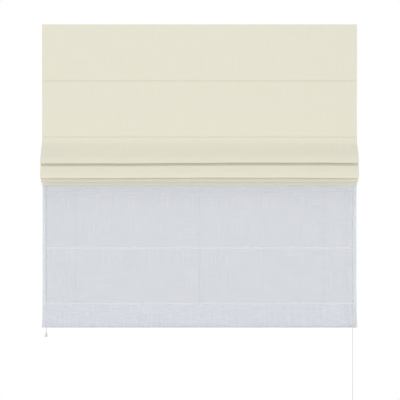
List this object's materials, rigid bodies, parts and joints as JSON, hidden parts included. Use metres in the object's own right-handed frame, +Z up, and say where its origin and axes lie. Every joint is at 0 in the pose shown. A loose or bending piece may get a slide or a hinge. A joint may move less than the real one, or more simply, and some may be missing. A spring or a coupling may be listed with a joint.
{
  "type": "double roman blind",
  "caption": "Wall-hung double roman blind: a cream cloth half raised in soft folds before a sheer cloth, with rods, head rail, cord locks and bell pulls.",
  "frame": {"origin": "on the wall, at the centre of the four screw holes of the two brackets", "axes": "+Z up, +Y into the wall, +X to the right as seen from the room"},
  "size_m": [1.312, 0.1282, 1.6],
  "materials": {
    "rail": "satin anodised",
    "bracket": "white powder coat",
    "plastic": "fine moulded",
    "wheel": "smooth moulded",
    "steel": "plated",
    "tape": "napped tape",
    "cream_cloth": "fine plain weave, matt",
    "sheer_cloth": "open voile weave",
    "rod": "white glass fibre",
    "ring": "clear white",
    "cord": "braided",
    "pull": "smooth moulded"
  },
  "bodies": {
    "root": {"headrail": "rail", "end_cap_left": "plastic", "end_cap_right": "plastic", "bracket_left": "bracket", "bracket_right": "bracket", "front_hook_tape": "tape", "front_loop_tape": "tape", "front_fabric": "cream_cloth", "front_guide_1": "plastic", "front_guide_2": "plastic", "front_guide_3": "plastic", "front_lock_housing": "plastic", "front_lift_cords": "cord", "front_pull_cord": "cord", "sheer_hook_tape": "tape", "sheer_loop_tape": "tape", "sheer_fabric": "sheer_cloth", "sheer_guide_1": "plastic", "sheer_guide_2": "plastic", "sheer_guide_3": "plastic", "sheer_lock_housing": "plastic", "sheer_lift_cords": "cord", "sheer_pull_cord": "cord"},
    "front_hem": {"front_hem_bar": "rail"},
    "front_rod_1": {"front_rod_1": "rod", "front_rings_1": "ring"},
    "front_rod_2": {"front_rod_2": "rod", "front_rings_2": "ring"},
    "front_rod_3": {"front_rod_3": "rod", "front_rings_3": "ring"},
    "front_rod_4": {"front_rod_4": "rod", "front_rings_4": "ring"},
    "front_rod_5": {"front_rod_5": "rod", "front_rings_5": "ring"},
    "front_pull": {"front_pull": "pull"},
    "front_pulley_1": {"front_pulley_1": "wheel"},
    "front_pulley_2": {"front_pulley_2": "wheel"},
    "front_pulley_3": {"front_pulley_3": "wheel"},
    "front_lock_roller": {"front_lock_roller": "wheel"},
    "front_lock_pawl": {"front_lock_pawl": "steel"},
    "sheer_hem": {"sheer_hem_bar": "rod"},
    "sheer_rod_1": {"sheer_rod_1": "rod", "sheer_rings_1": "ring"},
    "sheer_rod_2": {"sheer_rod_2": "rod", "sheer_rings_2": "ring"},
    "sheer_rod_3": {"sheer_rod_3": "rod", "sheer_rings_3": "ring"},
    "sheer_rod_4": {"sheer_rod_4": "rod", "sheer_rings_4": "ring"},
    "sheer_rod_5": {"sheer_rod_5": "rod", "sheer_rings_5": "ring"},
    "sheer_pull": {"sheer_pull": "pull"},
    "sheer_pulley_1": {"sheer_pulley_1": "wheel"},
    "sheer_pulley_2": {"sheer_pulley_2": "wheel"},
    "sheer_pulley_3": {"sheer_pulley_3": "wheel"},
    "sheer_lock_roller": {"sheer_lock_roller": "wheel"},
    "sheer_lock_pawl": {"sheer_lock_pawl": "steel"}
  },
  "joints": [
    {"name": "front_lift", "type": "slide", "parent": "root", "child": "front_hem", "axis": [0, 0, 1], "range_m": [-0.61, 0.35], "deforming": ["front_fabric", "front_lift_cords", "front_pull_cord"]},
    {"name": "front_rod_1_slide", "type": "slide", "parent": "root", "child": "front_rod_1", "axis": [0, 0, 1], "range_m": [-0.17193, 0.09907]},
    {"name": "front_rod_2_slide", "type": "slide", "parent": "root", "child": "front_rod_2", "axis": [0, 0, 1], "range_m": [-0.4775, 0.2744]},
    {"name": "front_rod_3_slide", "type": "slide", "parent": "root", "child": "front_rod_3", "axis": [0, 0, 1], "range_m": [-0.51594, 0.29646]},
    {"name": "front_rod_4_slide", "type": "slide", "parent": "root", "child": "front_rod_4", "axis": [0, 0, 1], "range_m": [-0.55102, 0.31659]},
    {"name": "front_rod_5_slide", "type": "slide", "parent": "root", "child": "front_rod_5", "axis": [0, 0, 1], "range_m": [-0.57157, 0.32838]},
    {"name": "front_pull_slide", "type": "slide", "parent": "root", "child": "front_pull", "axis": [0, 0, -1], "range_m": [-0.611, 0.351]},
    {"name": "front_pulley_1_spin", "type": "hinge", "parent": "root", "child": "front_pulley_1", "pos_m": [-0.51415, -0.0664, -0.0057], "axis": [0, 1, 0], "continuous": true},
    {"name": "front_pulley_2_spin", "type": "hinge", "parent": "root", "child": "front_pulley_2", "pos_m": [0.00585, -0.0629, -0.0057], "axis": [0, 1, 0], "continuous": true},
    {"name": "front_pulley_3_spin", "type": "hinge", "parent": "root", "child": "front_pulley_3", "pos_m": [0.52585, -0.0594, -0.0057], "axis": [0, 1, 0], "continuous": true},
    {"name": "front_lock_roller_spin", "type": "hinge", "parent": "root", "child": "front_lock_roller", "pos_m": [0.62815, -0.0629, -0.0057], "axis": [0, 1, 0], "continuous": true},
    {"name": "front_lock", "type": "hinge", "parent": "root", "child": "front_lock_pawl", "pos_m": [0.61615, -0.0629, 0.00635], "axis": [0, -1, 0], "range_deg": [0, 20]},
    {"name": "sheer_lift", "type": "slide", "parent": "root", "child": "sheer_hem", "axis": [0, 0, 1], "range_m": [0, 0.95], "deforming": ["sheer_fabric", "sheer_lift_cords", "sheer_pull_cord"]},
    {"name": "sheer_rod_1_slide", "type": "slide", "parent": "root", "child": "sheer_rod_1", "axis": [0, 0, 1], "range_m": [0, 0.18055]},
    {"name": "sheer_rod_2_slide", "type": "slide", "parent": "root", "child": "sheer_rod_2", "axis": [0, 0, 1], "range_m": [0, 0.37111]},
    {"name": "sheer_rod_3_slide", "type": "slide", "parent": "root", "child": "sheer_rod_3", "axis": [0, 0, 1], "range_m": [0, 0.56167]},
    {"name": "sheer_rod_4_slide", "type": "slide", "parent": "root", "child": "sheer_rod_4", "axis": [0, 0, 1], "range_m": [0, 0.75223]},
    {"name": "sheer_rod_5_slide", "type": "slide", "parent": "root", "child": "sheer_rod_5", "axis": [0, 0, 1], "range_m": [0, 0.94278]},
    {"name": "sheer_pull_slide", "type": "slide", "parent": "root", "child": "sheer_pull", "axis": [0, 0, -1], "range_m": [0, 0.951]},
    {"name": "sheer_pulley_1_spin", "type": "hinge", "parent": "root", "child": "sheer_pulley_1", "pos_m": [-0.52585, -0.0202, -0.0057], "axis": [0, 1, 0], "continuous": true},
    {"name": "sheer_pulley_2_spin", "type": "hinge", "parent": "root", "child": "sheer_pulley_2", "pos_m": [-0.00585, -0.0167, -0.0057], "axis": [0, 1, 0], "continuous": true},
    {"name": "sheer_pulley_3_spin", "type": "hinge", "parent": "root", "child": "sheer_pulley_3", "pos_m": [0.51415, -0.0132, -0.0057], "axis": [0, 1, 0], "continuous": true},
    {"name": "sheer_lock_roller_spin", "type": "hinge", "parent": "root", "child": "sheer_lock_roller", "pos_m": [-0.63715, -0.0167, -0.0057], "axis": [0, 1, 0], "continuous": true},
    {"name": "sheer_lock", "type": "hinge", "parent": "root", "child": "sheer_lock_pawl", "pos_m": [-0.62515, -0.0167, 0.00635], "axis": [0, 1, 0], "range_deg": [0, 20]}
  ],
  "couplings": [
    {"joint": "front_rod_1_slide", "follows": "front_lift", "ratio": 0.28021},
    {"joint": "front_rod_2_slide", "follows": "front_lift", "ratio": 0.78115},
    {"joint": "front_rod_3_slide", "follows": "front_lift", "ratio": 0.84416},
    {"joint": "front_rod_4_slide", "follows": "front_lift", "ratio": 0.90168},
    {"joint": "front_rod_5_slide", "follows": "front_lift", "ratio": 0.93536},
    {"joint": "front_pull_slide", "follows": "front_lift", "ratio": 1},
    {"joint": "front_pulley_1_spin", "follows": "front_lift", "rad_per_m": 170.94},
    {"joint": "front_pulley_2_spin", "follows": "front_lift", "rad_per_m": 170.94},
    {"joint": "front_pulley_3_spin", "follows": "front_lift", "rad_per_m": 170.94},
    {"joint": "front_lock_roller_spin", "follows": "front_lift", "rad_per_m": 170.94},
    {"joint": "sheer_rod_1_slide", "follows": "sheer_lift", "ratio": 0.189},
    {"joint": "sheer_rod_2_slide", "follows": "sheer_lift", "ratio": 0.38959},
    {"joint": "sheer_rod_3_slide", "follows": "sheer_lift", "ratio": 0.59018},
    {"joint": "sheer_rod_4_slide", "follows": "sheer_lift", "ratio": 0.79077},
    {"joint": "sheer_rod_5_slide", "follows": "sheer_lift", "ratio": 0.99135},
    {"joint": "sheer_pull_slide", "follows": "sheer_lift", "ratio": 1},
    {"joint": "sheer_pulley_1_spin", "follows": "sheer_lift", "rad_per_m": -170.94},
    {"joint": "sheer_pulley_2_spin", "follows": "sheer_lift", "rad_per_m": -170.94},
    {"joint": "sheer_pulley_3_spin", "follows": "sheer_lift", "rad_per_m": -170.94},
    {"joint": "sheer_lock_roller_spin", "follows": "sheer_lift", "rad_per_m": -170.94}
  ]
}
